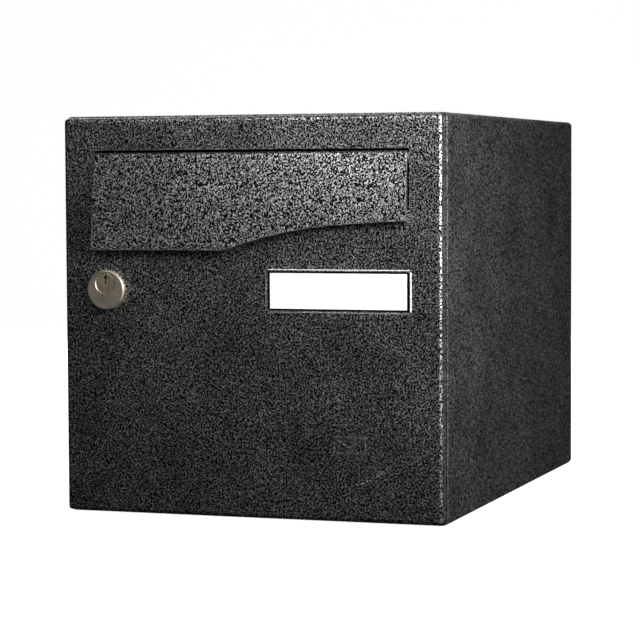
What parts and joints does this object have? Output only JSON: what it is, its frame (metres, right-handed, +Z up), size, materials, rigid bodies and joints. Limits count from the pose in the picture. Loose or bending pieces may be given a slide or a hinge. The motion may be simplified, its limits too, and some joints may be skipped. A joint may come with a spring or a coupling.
{
  "type": "letter and parcel drop box",
  "caption": "Square steel letter and parcel box with a hinged front door, a sprung slot flap with a wavy lower edge, a cam lock and a clear name window.",
  "frame": {"origin": "centre of the cabinet's base, on the face it stands on", "axes": "+Z up, +X to the right seen from the front, +Y to the back; the door and flap face -Y"},
  "size_m": [0.3, 0.4178, 0.3],
  "materials": {
    "hammered_paint": "hammered dark grey powder coat with silvery flecks",
    "inner_paint": "hammered dark grey powder coat, inside",
    "zinc_steel": "bright zinc plate",
    "spring_steel": "drawn spring wire",
    "lock_nickel": "satin nickel",
    "clear_window": "clear polycarbonate",
    "label_card": "white card",
    "black_plastic": "fine moulded texture",
    "nylon": "natural nylon",
    "black_rubber": "soft matt rubber"
  },
  "bodies": {
    "cabinet": {"body_shell": "hammered_paint", "rear_panel": "hammered_paint", "front_frame": "hammered_paint", "strike_plate": "zinc_steel", "strike_rivets": "zinc_steel", "hinge_bracket_top": "zinc_steel", "hinge_bracket_bottom": "zinc_steel", "hinge_rivets": "zinc_steel", "hinge_pin_top": "zinc_steel", "hinge_pin_bottom": "zinc_steel", "hinge_washers": "nylon", "door_buffers": "black_rubber"},
    "door": {"door_panel": "hammered_paint", "hinge_rail": "inner_paint", "flap_rod": "zinc_steel", "rod_caps": "zinc_steel", "flap_spring_left": "spring_steel", "flap_spring_right": "spring_steel", "mail_guard": "inner_paint", "guard_nuts": "zinc_steel", "lock_body": "lock_nickel", "lock_nut": "zinc_steel", "name_window": "clear_window", "name_label": "label_card", "label_carrier": "black_plastic"},
    "flap": {"letter_flap": "hammered_paint", "flap_bushes": "nylon"},
    "lock": {"lock_plug": "lock_nickel", "lock_cam": "zinc_steel", "cam_washer": "zinc_steel", "cam_screw": "zinc_steel"}
  },
  "joints": [
    {"name": "door_hinge", "type": "hinge", "parent": "cabinet", "child": "door", "pos_m": [0.1425, -0.205, 0.15], "axis": [0, 0, 1], "range_deg": [0, 105]},
    {"name": "flap_hinge", "type": "hinge", "parent": "door", "child": "flap", "pos_m": [0, -0.2048, 0.2676], "axis": [-1, 0, 0], "range_deg": [0, 75], "stiffness_Nm_per_rad": 0.06, "springref_deg": -34.38},
    {"name": "lock_turn", "type": "hinge", "parent": "door", "child": "lock", "pos_m": [-0.1141, -0.2, 0.1745], "axis": [0, 1, 0], "range_deg": [0, 90]}
  ]
}
